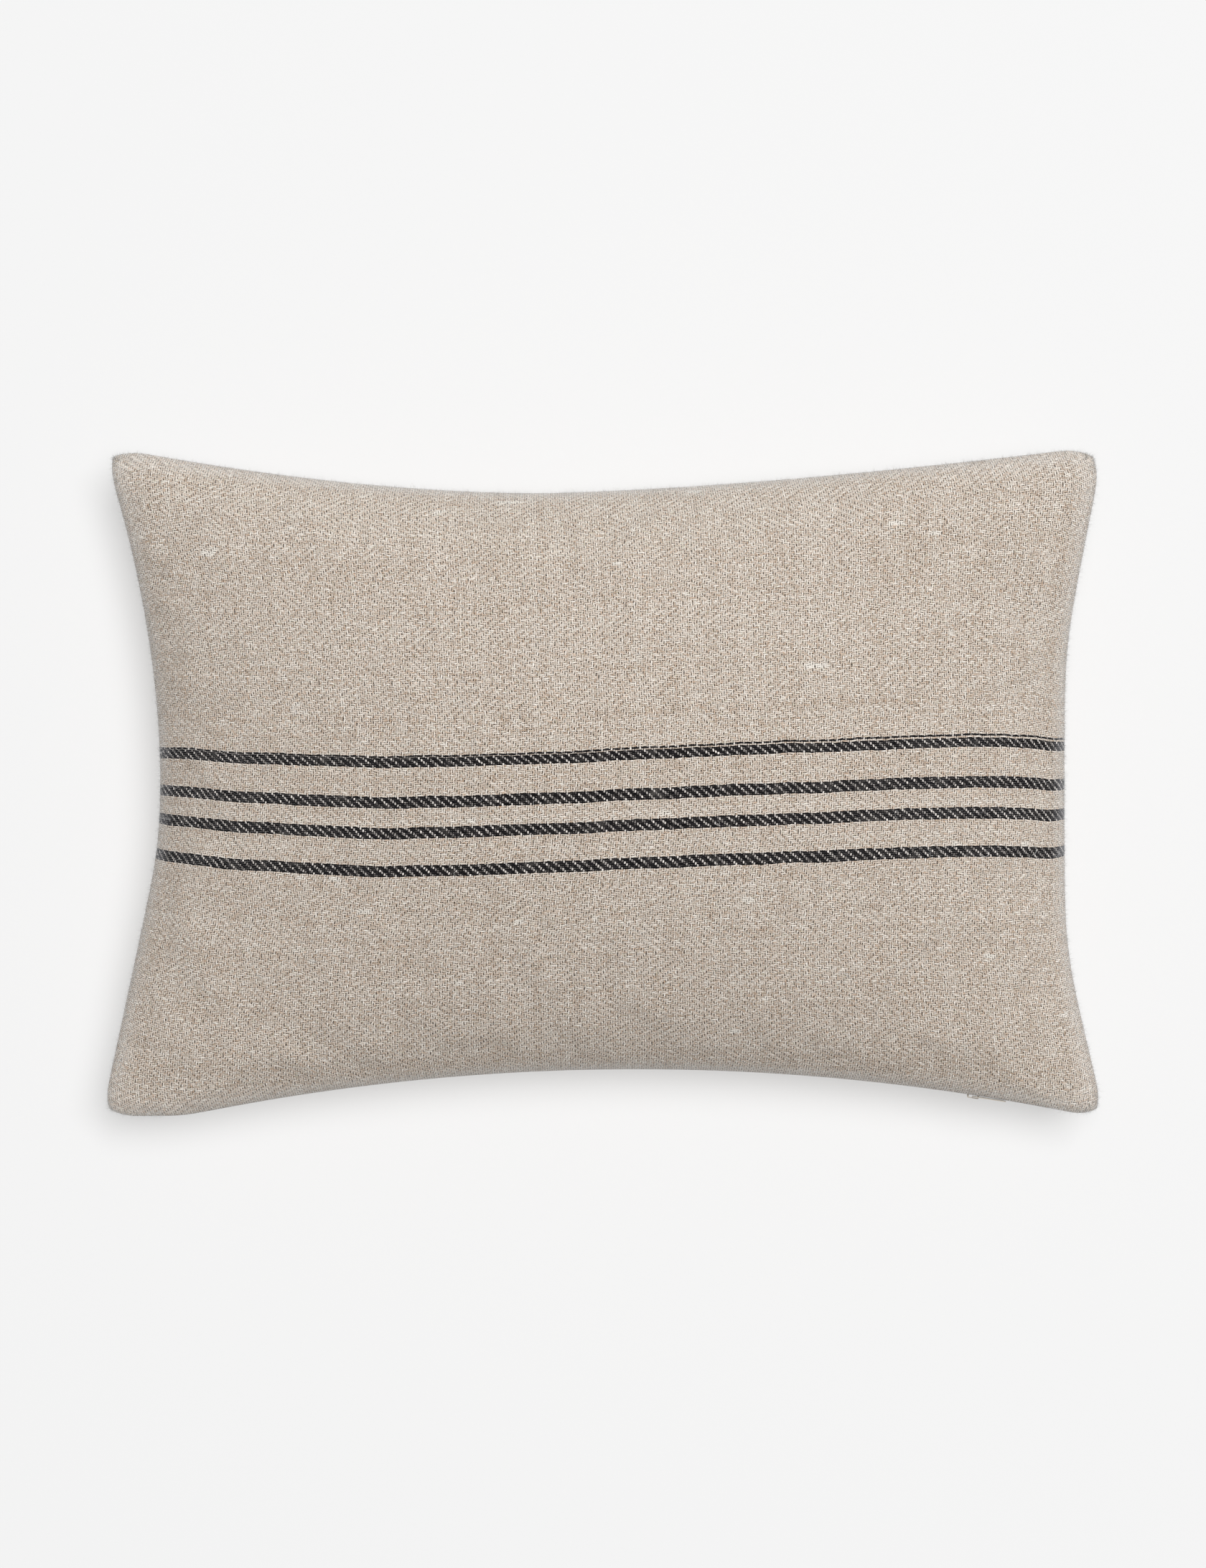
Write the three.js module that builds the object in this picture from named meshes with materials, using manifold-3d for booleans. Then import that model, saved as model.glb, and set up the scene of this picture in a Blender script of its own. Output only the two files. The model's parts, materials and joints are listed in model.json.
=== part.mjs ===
// Rectangular throw pillow: a woven linen cover with a concealed zipper in its front seam,
// and a sewn insert that holds loose filling.
// Millimetres, +Z up. The pillow lies flat on its back face. The origin is on the floor under
// the middle of the pillow, X runs along its length and Y along its depth.
// The striped face looks up, and the zippered seam is on the -Y side.

import * as THREE from 'three';
import { mergeVertices } from 'three/addons/utils/BufferGeometryUtils.js';
import Module from 'manifold-3d';

const wasm = await Module();
wasm.setup();

// ---------------------------------------------------------------- pillow shape
const LENGTH = 602; // between the corner tips along X, before they are rounded off
const DEPTH = 404; // the same along Y
const SEAM_HEIGHT = 72; // the plane of the edge seam above the floor
const CROWN = 78; // how far each face swells from the seam plane before the floor stops it
const FULLNESS = 0.7; // 0.5 is a round, tight edge and 1 is a slack, sharp one
const PULL_LEFT = 33.5; // how far the filling draws in the middle of each seam
const PULL_RIGHT = 23;
const PULL_BACK = 28.8; // the +Y seam
const PULL_FRONT = 28.7; // the zippered -Y seam
const LOWEST_BACK_X = -40; // where along X a long seam is drawn in most
const LOWEST_FRONT_X = 20;
const BACK_POWERS = { minus: 1.8, plus: 1.5 }; // how the +Y seam falls away either side of that
const LEFT_POWER = 1.9; // how the upper half of the left seam falls away from its middle
const LEFT_BEND = { start: 0.18, soft: 0.06 }; // its lower half is straight, then bends outwards
const RIGHT_BENDS = { minus: { start: 0.5, soft: 0.07 }, plus: { start: 0.4, soft: 0.07 } };
const CORNER_DIP = 1; // the zippered seam's least dip, at its corners
const CORNER_ROUNDING = 4;
const CORNER_SHARPNESS = 24;
const EDGE_SHARPNESS = 16; // how close to the seam the edge reaches its own thickness

// ---------------------------------------------------------------- cloth and sewing
const SEAM_GAP = 0.3; // clearance between two sewn pieces
const COVER = { cloth: 0.9, fold: 2.6, allowance: 10.5, step: 0.2, edge: 7, edgeInside: 3.5 };
const INSERT = { cloth: 0.4, fold: 2, allowance: 8, step: 0.2, edge: 4, edgeInside: 3 };
const INSERT_INSET = 13; // the insert's seam inside the cover's seam
const INSERT_CLEARANCE = 0.8; // between cover and insert at the crown
const FILL_CLEARANCE = 1.5;
const THREAD = 0.4; // a strip standing for one line of stitches
const THREAD_CLEARANCE = 0.3; // between a strip and the cloth under it
const COVER_STITCHING = 6; // the cover's line of stitches inside its seam
const INSERT_STITCHING = 4;
const OVERLOCK = { near: 0.3, far: 0.6, half: 1.2 }; // around the raw edges of the allowances
const CLOSING = { near: -0.9, far: -0.5, half: 0.4 }; // outside the insert's seam
const CARE_LABEL = { aFrom: -1, aTo: -0.81, bFrom: 0.02, bTo: 0.2 };
const INSERT_LABEL = { aFrom: 0.84, aTo: 1, bFrom: 0.2, bTo: 0.4 };
const LABEL_CLEARANCE = { seam: 0.9, face: 0.2, edge: 1.8 };
const GRID_X = 20;
const GRID_Y = 14;

// ---------------------------------------------------------------- zipper
const ZIPPER_LENGTH = 460; // between the stops
const TAPE_MARGIN = 8; // tape past each stop
const SLIT = 1.8; // opening between the two folds, where the slider's neck passes
const SLIT_HALF_LENGTH = 262;
const SLIT_FADE = 12;
const CHANNEL = 6.4; // height of the space between the two allowances at the zipper
const TAPE = { cloth: 0.4, web: 4.6, end: 10.2, low: 0.5, high: 2.9 };
const COIL = { near: 5.3, far: 6.8, low: 0.5, high: 1.9 };
const TAPE_STITCHING = 7.4; // the stitches that hold each tape, inside the seam
const STOP_LENGTH = 2.2;
const END_CLEARANCE = 0.5; // between the coil's end and a stop
const SLIDER = { length: 11, halfFront: 2.1, halfRear: 1.7, plate: 1, outer: 3.2, inner: 7.2, corner: 1.2 };
const POST = { length: 2.4, thick: 0.5, setback: 2.6 }; // joins the slider's plates between the coils
const BRIDGE = { length: 7.2, leg: 1, halfWidth: 0.6, reach: 2.1, bar: 0.6, corner: 1, foot: 0.6 };
const PULL_TAB = { length: 20, thick: 0.6, halfRing: 2.1, halfEnd: 2.7, bar: 0.6, hole: 4, halfHole: 1.1 };
const PULL_AXIS = 0.9; // the pull's hinge line outside the seam
const SLIDER_REST = 223; // the closed zipper's slider, along X
const SEAM_STEPS = 28;

// The zippered seam is one arc as far as the zipper goes. Its centre lies outside the pillow.
const ARC_RADIUS = 1330;
const ARC_CENTRE_Y = -(DEPTH / 2 - PULL_FRONT) - ARC_RADIUS;

const LINEN = new THREE.MeshStandardMaterial({ color: 0xc6bbae, roughness: 0.95, metalness: 0 });
const CALICO = new THREE.MeshStandardMaterial({ color: 0xe9e6df, roughness: 0.95, metalness: 0 });
const FIBRE = new THREE.MeshStandardMaterial({ color: 0xf4f2ec, roughness: 1, metalness: 0 });
const SEWING = new THREE.MeshStandardMaterial({ color: 0xcfc6b8, roughness: 0.8, metalness: 0 });
const TAPE_CLOTH = new THREE.MeshStandardMaterial({ color: 0xcabfb0, roughness: 0.9, metalness: 0 });
const NYLON = new THREE.MeshStandardMaterial({ color: 0xcfc5b6, roughness: 0.4, metalness: 0 });
const ENAMEL = new THREE.MeshStandardMaterial({ color: 0xc4b8a8, roughness: 0.4, metalness: 0.2 });
const SATIN = new THREE.MeshStandardMaterial({ color: 0xf2f1ee, roughness: 0.6, metalness: 0 });

// ---------------------------------------------------------------- outline and layers
function softPlus(x, soft) {
  return soft * Math.log1p(Math.exp(x / soft));
}

// How far the zippered seam is drawn in: the arc, eased off where it would pass the corners.
function frontDip(x) {
  const arc = Math.sqrt(ARC_RADIUS ** 2 - (x - LOWEST_FRONT_X) ** 2) - (ARC_RADIUS - PULL_FRONT);
  return CORNER_DIP + softPlus(arc - CORNER_DIP, CORNER_DIP);
}

function backDip(x) {
  const away = x - LOWEST_BACK_X;
  const reach = LENGTH / 2 - Math.sign(away) * LOWEST_BACK_X;
  const power = away < 0 ? BACK_POWERS.minus : BACK_POWERS.plus;
  return PULL_BACK * (1 - (Math.abs(away) / reach) ** power);
}

// A seam that is straight around its middle and bends outwards towards the corner.
function bentDip(pull, b, bend) {
  const turn = (t) => softPlus(t - bend.start, bend.soft);
  return pull * (1 - (turn(Math.abs(b)) - turn(0)) / (turn(1) - turn(0)));
}

function leftDip(b) {
  return b < 0 ? bentDip(PULL_LEFT, b, LEFT_BEND) : PULL_LEFT * (1 - b ** LEFT_POWER);
}

function rightDip(b) {
  return bentDip(PULL_RIGHT, b, b < 0 ? RIGHT_BENDS.minus : RIGHT_BENDS.plus);
}

// Plan position of the point (a, b), each from -1 to 1, on the outline moved inwards by inset.
function planPoint(a, b, inset) {
  const halfLength = LENGTH / 2 - inset;
  const halfDepth = DEPTH / 2 - inset;
  const dipX = a < 0 ? leftDip(b) : rightDip(b);
  const dipY = b < 0 ? frontDip(a * halfLength) : backDip(a * halfLength);
  const round = CORNER_ROUNDING * Math.abs(a * b) ** CORNER_SHARPNESS;
  const x = a * (halfLength - dipX) - Math.sign(a) * round;
  const y = b * (halfDepth - dipY) - Math.sign(b) * round;
  return [x, y];
}

function swell(a, b) {
  return Math.max(0, (1 - a * a) * (1 - b * b)) ** FULLNESS;
}

// 1 along the zipper and 0 near the corners, fading into the face.
function zipperZone(a, b) {
  const x = Math.abs(a) * LENGTH / 2;
  const along = 1 - THREE.MathUtils.smoothstep(x, SLIT_HALF_LENGTH, SLIT_HALF_LENGTH + SLIT_FADE);
  return along * Math.max(0, -b) ** 12;
}

// The turned-in allowances thicken the edge, even in the corners.
function edgeRamp(a, b) {
  return Math.sqrt(Math.max(0, (1 - a ** EDGE_SHARPNESS) * (1 - b ** EDGE_SHARPNESS)));
}

// A layer is a face of the pillow: its seam's inset, its height at the seam, just inside the
// seam and at the crown, and how near the floor it may come.
function layerPoint(layer, side, a, b) {
  const [x, y] = planPoint(a, b, layer.inset);
  const swollen = (layer.crown - layer.base(0, 0) - layer.edge) * swell(a, b);
  const rise = layer.base(a, b) + layer.edge * edgeRamp(a, b) + swollen;
  return [x, y, Math.max(layer.floor, SEAM_HEIGHT + side * rise)];
}

// ---------------------------------------------------------------- mesh helpers
function closedGeometry(points, faces) {
  let volume = 0;
  for (const [i, j, k] of faces) {
    const [p, q, r] = [points[i], points[j], points[k]];
    volume += p[0] * (q[1] * r[2] - q[2] * r[1]);
    volume += p[1] * (q[2] * r[0] - q[0] * r[2]);
    volume += p[2] * (q[0] * r[1] - q[1] * r[0]);
  }
  const outward = volume > 0 ? faces : faces.map(([i, j, k]) => [i, k, j]);
  const geometry = new THREE.BufferGeometry();
  geometry.setAttribute('position', new THREE.Float32BufferAttribute(points.flat(), 3));
  geometry.setIndex(outward.flat());
  geometry.computeVertexNormals();
  return geometry;
}

// Rows and columns crowd towards the seam, where the cloth curves most.
function seamwards(index, count) {
  return Math.sin(Math.PI * (index / count - 0.5));
}

function rimParameters() {
  const rim = [];
  for (let i = 0; i < GRID_X; i += 1) rim.push([i, 0]);
  for (let j = 0; j < GRID_Y; j += 1) rim.push([GRID_X, j]);
  for (let i = GRID_X; i > 0; i -= 1) rim.push([i, GRID_Y]);
  for (let j = GRID_Y; j > 0; j -= 1) rim.push([0, j]);
  return rim;
}

function gridFaces(first, columns, rows, flip) {
  const faces = [];
  for (let j = 0; j < rows; j += 1) {
    for (let i = 0; i < columns; i += 1) {
      const p = first + j * (columns + 1) + i;
      const q = p + 1;
      const r = q + columns + 1;
      const s = p + columns + 1;
      if (flip) faces.push([p, r, q], [p, s, r]);
      else faces.push([p, q, r], [p, r, s]);
    }
  }
  return faces;
}

function stripFaces(lower, upper) {
  const faces = [];
  for (let k = 0; k < lower.length; k += 1) {
    const next = (k + 1) % lower.length;
    faces.push([lower[k], upper[next], lower[next]], [lower[k], upper[k], upper[next]]);
  }
  return faces;
}

function gridPoints(layer, side) {
  const points = [];
  for (let j = 0; j <= GRID_Y; j += 1) {
    for (let i = 0; i <= GRID_X; i += 1) {
      points.push(layerPoint(layer, side, seamwards(i, GRID_X), seamwards(j, GRID_Y)));
    }
  }
  return points;
}

// A solid swept along stations; place(station, inset) gives the plan position, and the section
// is a polygon of [inset, height above the seam plane].
function sweptSolid(place, stations, section) {
  const asVectors = (ring) => ring.map(([inset, height]) => new THREE.Vector2(inset, height));
  const ring = THREE.ShapeUtils.isClockWise(asVectors(section)) ? [...section].reverse() : section;
  const points = [];
  const faces = [];
  const count = ring.length;
  for (const station of stations) {
    for (const [inset, height] of ring) points.push([...place(station, inset), SEAM_HEIGHT + height]);
  }
  for (let s = 0; s + 1 < stations.length; s += 1) {
    for (let k = 0; k < count; k += 1) {
      const p = s * count + k;
      const q = s * count + (k + 1) % count;
      faces.push([p, q, q + count], [p, q + count, p + count]);
    }
  }
  const last = (stations.length - 1) * count;
  for (const [i, j, k] of THREE.ShapeUtils.triangulateShape(asVectors(ring), [])) {
    faces.push([i, k, j], [last + i, last + j, last + k]);
  }
  return closedGeometry(points, faces);
}

function box(nearInset, farInset, low, high) {
  return [[nearInset, low], [farInset, low], [farInset, high], [nearInset, high]];
}

function evenly(from, to, steps) {
  return Array.from({ length: steps + 1 }, (_, k) => from + (to - from) * k / steps);
}

// ---------------------------------------------------------------- cloth shells
// One face of a sewn shell: the cloth turns in at the seam and ends in a flat allowance.
function sewnPanel(side, spec, inset, crown, floor, zone) {
  const slit = (a, b) => SEAM_GAP / 2 + zone(a, b) * (SLIT - SEAM_GAP) / 2;
  const lift = (a, b) => spec.step + zone(a, b) * (CHANNEL / 2 - SLIT / 2 - spec.step);
  const inside = (a, b) => slit(a, b) + lift(a, b) + spec.cloth;
  const outer = { inset, base: slit, edge: spec.edge, crown, floor };
  const inner = {
    inset: inset + spec.fold,
    base: inside,
    edge: spec.edgeInside,
    crown: crown - spec.cloth,
    floor: floor + spec.cloth,
  };
  const rim = rimParameters();
  const points = [...gridPoints(outer, side), ...gridPoints(inner, side)];
  const innerFirst = (GRID_X + 1) * (GRID_Y + 1);
  const rimIndex = ([i, j]) => j * (GRID_X + 1) + i;
  const loops = [rim.map(rimIndex)];
  const corners = [
    [spec.fold, slit],
    [spec.fold, (a, b) => slit(a, b) + lift(a, b)],
    [spec.allowance, (a, b) => slit(a, b) + lift(a, b)],
    [spec.allowance, inside],
  ];
  for (const [extra, height] of corners) {
    const first = points.length;
    for (const [i, j] of rim) {
      const a = seamwards(i, GRID_X);
      const b = seamwards(j, GRID_Y);
      points.push([...planPoint(a, b, inset + extra), SEAM_HEIGHT + side * height(a, b)]);
    }
    loops.push(rim.map((_, k) => first + k));
  }
  loops.push(rim.map((cell) => innerFirst + rimIndex(cell)));
  const faces = [...gridFaces(0, GRID_X, GRID_Y, false), ...gridFaces(innerFirst, GRID_X, GRID_Y, true)];
  for (let k = 0; k + 1 < loops.length; k += 1) faces.push(...stripFaces(loops[k], loops[k + 1]));
  return closedGeometry(points, faces);
}

function lensSolid(layer) {
  const top = gridPoints(layer, 1);
  const bottom = gridPoints(layer, -1);
  const columns = GRID_X + 1;
  const onRim = (index) => {
    const i = index % columns;
    const j = Math.floor(index / columns);
    return i === 0 || j === 0 || i === GRID_X || j === GRID_Y;
  };
  const bottomIndex = bottom.map((_, index) => (onRim(index) ? index : top.length + index));
  const lower = gridFaces(0, GRID_X, GRID_Y, true).map((face) => face.map((index) => bottomIndex[index]));
  return closedGeometry([...top, ...bottom], [...gridFaces(0, GRID_X, GRID_Y, false), ...lower]);
}

// A label lies between cover and insert, from the seam towards the middle of the back face.
function labelSlab({ aFrom, aTo, bFrom, bTo }) {
  const columns = 8;
  const rows = 2;
  const points = [];
  for (const sink of [0, THREAD]) {
    const layer = {
      inset: COVER.allowance + LABEL_CLEARANCE.seam + sink,
      base: () => 0,
      edge: INSERT.edge + LABEL_CLEARANCE.edge,
      crown: CROWN - COVER.cloth - LABEL_CLEARANCE.face - sink,
      floor: COVER.cloth + LABEL_CLEARANCE.face + sink,
    };
    for (const b of evenly(bFrom, bTo, rows)) {
      for (const a of evenly(aFrom, aTo, columns)) points.push(layerPoint(layer, -1, a, b));
    }
  }
  const first = (columns + 1) * (rows + 1);
  const edge = [];
  for (let i = 0; i < columns; i += 1) edge.push(i);
  for (let j = 0; j < rows; j += 1) edge.push(j * (columns + 1) + columns);
  for (let i = columns; i > 0; i -= 1) edge.push(rows * (columns + 1) + i);
  for (let j = rows; j > 0; j -= 1) edge.push(j * (columns + 1));
  const faces = [
    ...gridFaces(0, columns, rows, false),
    ...gridFaces(first, columns, rows, true),
    ...stripFaces(edge, edge.map((index) => index + first)),
  ];
  return closedGeometry(points, faces);
}

// ---------------------------------------------------------------- stitches
function rimPlace([i, j], inset) {
  return planPoint(seamwards(i, GRID_X), seamwards(j, GRID_Y), inset);
}

// Around both ends and the +Y seam, stopping just short of the zippered seam's corners.
function threeSides() {
  return rimParameters().filter(([, j]) => j > 0);
}

function seamThread(side, inset, height) {
  const low = side * height;
  return sweptSolid(rimPlace, threeSides(), box(inset, inset + THREAD, low, low + side * THREAD));
}

// The last stretch of the insert's +Y seam, sewn shut from outside once it is filled.
function closingStretch() {
  return rimParameters().filter(([i, j]) => j === GRID_Y && Math.abs(i - GRID_X / 2) <= 2);
}

// ---------------------------------------------------------------- zipper
function arcPlace(x, inset) {
  const angle = Math.asin((x - LOWEST_FRONT_X) / ARC_RADIUS);
  const radius = ARC_RADIUS + inset;
  return [LOWEST_FRONT_X + radius * Math.sin(angle), ARC_CENTRE_Y + radius * Math.cos(angle)];
}

function alongZipper(section, from, to, steps) {
  return sweptSolid(arcPlace, evenly(from, to, steps), section);
}

function tapeSection(side) {
  const outerCorner = [TAPE.web, side * TAPE.high];
  const innerHeight = side * (TAPE.high - TAPE.cloth);
  return [
    [TAPE.web, side * TAPE.low],
    [TAPE.web + TAPE.cloth, side * TAPE.low],
    [TAPE.web + TAPE.cloth, innerHeight],
    [TAPE.end, innerHeight],
    [TAPE.end, side * TAPE.high],
    outerCorner,
  ];
}

function coilSection(side) {
  const middle = (COIL.near + COIL.far) / 2;
  const centre = (COIL.low + COIL.high) / 2;
  const section = [];
  for (let k = 0; k < 8; k += 1) {
    const angle = (k + 0.5) * Math.PI / 4;
    const radius = (COIL.far - COIL.near) / 2;
    section.push([middle + radius * Math.cos(angle), side * (centre + radius * Math.sin(angle))]);
  }
  return section;
}

function asManifold(geometry) {
  const plain = geometry.clone();
  plain.deleteAttribute('normal');
  plain.deleteAttribute('uv');
  const merged = mergeVertices(plain);
  return new wasm.Manifold(new wasm.Mesh({
    numProp: 3,
    vertProperties: new Float32Array(merged.attributes.position.array),
    triVerts: new Uint32Array(merged.index.array),
  }));
}

function fromManifold(solid) {
  const mesh = solid.getMesh();
  const geometry = new THREE.BufferGeometry();
  geometry.setAttribute('position', new THREE.BufferAttribute(new Float32Array(mesh.vertProperties), 3));
  geometry.setIndex(new THREE.BufferAttribute(new Uint32Array(mesh.triVerts), 1));
  geometry.computeVertexNormals();
  return geometry;
}

// The slider group's own frame: X along the zipper, Y into the pillow from the seam, Z up.
function sliderPlate(inset) {
  const outline = new THREE.Shape();
  const half = SLIDER.length / 2;
  outline.moveTo(-half, -SLIDER.halfRear);
  outline.lineTo(half - SLIDER.corner, -SLIDER.halfFront);
  outline.quadraticCurveTo(half, -SLIDER.halfFront, half, 0);
  outline.quadraticCurveTo(half, SLIDER.halfFront, half - SLIDER.corner, SLIDER.halfFront);
  outline.lineTo(-half, SLIDER.halfRear);
  outline.closePath();
  const depth = SLIDER.plate;
  const plate = new THREE.ExtrudeGeometry(outline, { depth, bevelEnabled: false, curveSegments: 5 });
  plate.rotateX(Math.PI / 2);
  plate.translate(0, inset + SLIDER.plate, 0);
  return plate;
}

function sliderPost() {
  const from = SLIDER.outer + SLIDER.plate / 2;
  const to = SLIDER.inner + SLIDER.plate / 2;
  const post = new THREE.BoxGeometry(POST.length, to - from, POST.thick);
  post.translate(SLIDER.length / 2 - POST.setback, (from + to) / 2, 0);
  return post;
}

function sliderBridge() {
  const half = BRIDGE.length / 2;
  const foot = SLIDER.outer + SLIDER.plate / 2;
  const flat = half - BRIDGE.corner;
  const arch = new THREE.Shape();
  arch.moveTo(-half, foot);
  arch.lineTo(-half, BRIDGE.corner - BRIDGE.reach);
  arch.quadraticCurveTo(-half, -BRIDGE.reach, -flat, -BRIDGE.reach);
  arch.lineTo(flat, -BRIDGE.reach);
  arch.quadraticCurveTo(half, -BRIDGE.reach, half, BRIDGE.corner - BRIDGE.reach);
  arch.lineTo(half, foot);
  arch.closePath();
  const inside = half - BRIDGE.leg;
  const eye = new THREE.Path();
  eye.moveTo(-inside, BRIDGE.bar - BRIDGE.reach);
  eye.lineTo(-inside, SLIDER.outer - BRIDGE.foot);
  eye.lineTo(inside, SLIDER.outer - BRIDGE.foot);
  eye.lineTo(inside, BRIDGE.bar - BRIDGE.reach);
  eye.closePath();
  arch.holes.push(eye);
  const depth = 2 * BRIDGE.halfWidth;
  const bridge = new THREE.ExtrudeGeometry(arch, { depth, bevelEnabled: false, curveSegments: 4 });
  bridge.translate(0, 0, -BRIDGE.halfWidth);
  return bridge;
}

function sliderBody() {
  const outerPlate = asManifold(sliderPlate(SLIDER.outer));
  const innerPlate = asManifold(sliderPlate(SLIDER.inner));
  const joined = outerPlate.add(innerPlate).add(asManifold(sliderPost())).add(asManifold(sliderBridge()));
  return fromManifold(joined);
}

// A tapered tab with a window; the bar at its end turns inside the slider's bridge.
function pullTab() {
  const end = PULL_TAB.length;
  const tab = new THREE.Shape();
  tab.moveTo(-PULL_TAB.bar / 2, -PULL_TAB.halfRing);
  tab.lineTo(end - PULL_TAB.halfEnd, -PULL_TAB.halfEnd);
  tab.absarc(end - PULL_TAB.halfEnd, 0, PULL_TAB.halfEnd, -Math.PI / 2, Math.PI / 2, false);
  tab.lineTo(-PULL_TAB.bar / 2, PULL_TAB.halfRing);
  tab.closePath();
  const hole = new THREE.Path();
  hole.moveTo(PULL_TAB.bar / 2, -PULL_TAB.halfHole);
  hole.lineTo(PULL_TAB.bar / 2, PULL_TAB.halfHole);
  hole.lineTo(PULL_TAB.bar / 2 + PULL_TAB.hole, PULL_TAB.halfHole);
  hole.lineTo(PULL_TAB.bar / 2 + PULL_TAB.hole, -PULL_TAB.halfHole);
  hole.closePath();
  tab.holes.push(hole);
  const depth = PULL_TAB.thick;
  const geometry = new THREE.ExtrudeGeometry(tab, { depth, bevelEnabled: false, curveSegments: 8 });
  geometry.translate(0, 0, -PULL_TAB.thick / 2);
  geometry.rotateX(Math.PI / 2);
  geometry.translate(0, -PULL_AXIS, 0);
  return geometry;
}

// ---------------------------------------------------------------- assembly
const pillow = new THREE.Group();

function addPart(name, geometry, material, parent = pillow) {
  const mesh = new THREE.Mesh(geometry, material);
  mesh.name = name;
  parent.add(mesh);
}

function addCover() {
  const threadHeight = SEAM_GAP / 2 + COVER.step + COVER.cloth + THREAD_CLEARANCE;
  addPart('front_panel', sewnPanel(1, COVER, 0, CROWN, 0, zipperZone), LINEN);
  addPart('back_panel', sewnPanel(-1, COVER, 0, CROWN, 0, zipperZone), LINEN);
  addPart('cover_needle_thread', seamThread(1, COVER_STITCHING, threadHeight), SEWING);
  addPart('cover_bobbin_thread', seamThread(-1, COVER_STITCHING, threadHeight), SEWING);
  const { allowance } = COVER;
  const overlock = box(allowance + OVERLOCK.near, allowance + OVERLOCK.far, -OVERLOCK.half, OVERLOCK.half);
  addPart('cover_overlock_thread', sweptSolid(rimPlace, threeSides(), overlock), SEWING);
  addPart('care_label', labelSlab(CARE_LABEL), SATIN);
}

function addInsert() {
  const crown = CROWN - COVER.cloth - INSERT_CLEARANCE;
  const floor = COVER.cloth + INSERT_CLEARANCE;
  const noZipper = () => 0;
  addPart('insert_front_panel', sewnPanel(1, INSERT, INSERT_INSET, crown, floor, noZipper), CALICO);
  addPart('insert_back_panel', sewnPanel(-1, INSERT, INSERT_INSET, crown, floor, noZipper), CALICO);
  const threadHeight = SEAM_GAP / 2 + INSERT.step + INSERT.cloth + THREAD_CLEARANCE;
  addPart('insert_seam_thread', seamThread(1, INSERT_INSET + INSERT_STITCHING, threadHeight), SEWING);
  const closing = box(INSERT_INSET + CLOSING.near, INSERT_INSET + CLOSING.far, -CLOSING.half, CLOSING.half);
  addPart('insert_closing_thread', sweptSolid(rimPlace, closingStretch(), closing), SEWING);
  addPart('insert_label', labelSlab(INSERT_LABEL), SATIN);
  const fillInset = INSERT_INSET + INSERT.allowance + 1;
  const fill = {
    inset: fillInset,
    base: () => 0,
    edge: INSERT.edgeInside - 1,
    crown: crown - FILL_CLEARANCE,
    floor: floor + FILL_CLEARANCE,
  };
  addPart('filling', lensSolid(fill), FIBRE);
}

function addZipper() {
  const end = ZIPPER_LENGTH / 2;
  const threadHeight = CHANNEL / 2 + COVER.cloth + THREAD_CLEARANCE;
  for (const [face, side] of [['front', 1], ['back', -1]]) {
    const outside = side * (threadHeight + THREAD);
    const stitch = box(TAPE_STITCHING, TAPE_STITCHING + THREAD, side * threadHeight, outside);
    const coilEnd = end - END_CLEARANCE;
    const stop = box(COIL.near, COIL.far, side * COIL.low, side * COIL.high);
    const tapeEnd = end + TAPE_MARGIN;
    addPart(`zipper_tape_${face}`, alongZipper(tapeSection(side), -tapeEnd, tapeEnd, SEAM_STEPS), TAPE_CLOTH);
    addPart(`zipper_coil_${face}`, alongZipper(coilSection(side), -coilEnd, coilEnd, SEAM_STEPS), NYLON);
    addPart(`zipper_tape_thread_${face}`, alongZipper(stitch, -end, end, SEAM_STEPS), SEWING);
    addPart(`zipper_top_stop_${face}`, alongZipper(stop, end, end + STOP_LENGTH, 1), ENAMEL);
  }
  const bottomStop = box(COIL.near, COIL.far, -COIL.high, COIL.high);
  addPart('zipper_bottom_stop', alongZipper(bottomStop, -end - STOP_LENGTH, -end, 1), ENAMEL);
}

// The slider and its pull sit at the closed end, turned about the centre of the seam's arc.
function addSlider() {
  const carriage = new THREE.Group();
  carriage.position.set(LOWEST_FRONT_X, ARC_CENTRE_Y, SEAM_HEIGHT);
  carriage.rotation.z = -Math.asin((SLIDER_REST - LOWEST_FRONT_X) / ARC_RADIUS);
  const seat = new THREE.Group();
  seat.position.y = ARC_RADIUS;
  carriage.add(seat);
  addPart('zipper_slider', sliderBody(), ENAMEL, seat);
  addPart('zipper_pull', pullTab(), ENAMEL, seat);
  pillow.add(carriage);
}

addCover();
addInsert();
addZipper();
addSlider();

export default pillow;
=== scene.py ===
import json
import math

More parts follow.
